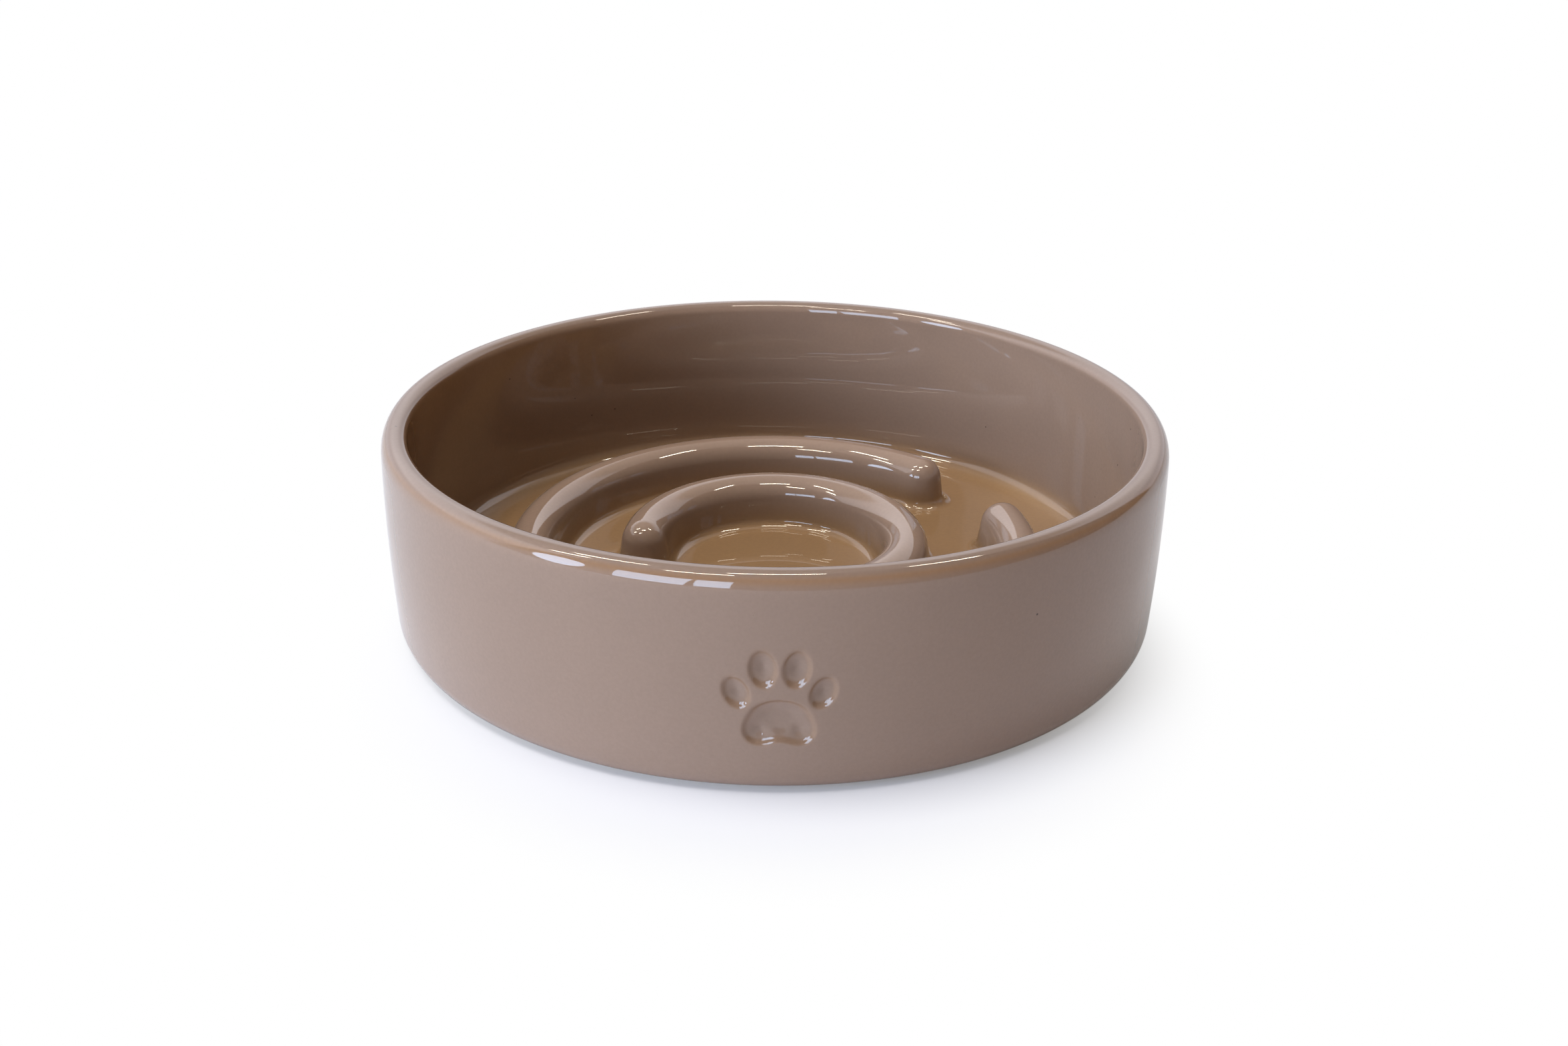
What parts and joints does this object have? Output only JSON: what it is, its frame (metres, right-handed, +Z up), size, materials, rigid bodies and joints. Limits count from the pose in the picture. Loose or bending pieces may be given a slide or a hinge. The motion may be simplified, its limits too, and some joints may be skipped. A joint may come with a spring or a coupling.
{
  "type": "slow feeder bowl",
  "caption": "Round glazed stoneware pet bowl with an upright wall, a full-round lip and concentric C-shaped ridges on the floor that slow down eating.",
  "frame": {"origin": "centre of the foot ring, on the ground", "axes": "+Z up along the bowl's axis; -Y is the front, the side that faces the viewer in the picture; the outer ridge's gap lies 31.5 degrees from +X towards +Y"},
  "size_m": [0.2, 0.2, 0.053],
  "materials": {
    "stoneware": "bare fired clay, matt and lightly sanded, seen only on the foot ring",
    "glaze": "glossy taupe-brown glaze, warmer where it pools"
  },
  "bodies": {
    "root": {"stoneware_shell": "stoneware", "outer_ridge": "stoneware", "inner_ridge": "stoneware", "glaze_coat": "glaze", "base_glaze": "glaze"}
  },
  "joints": []
}
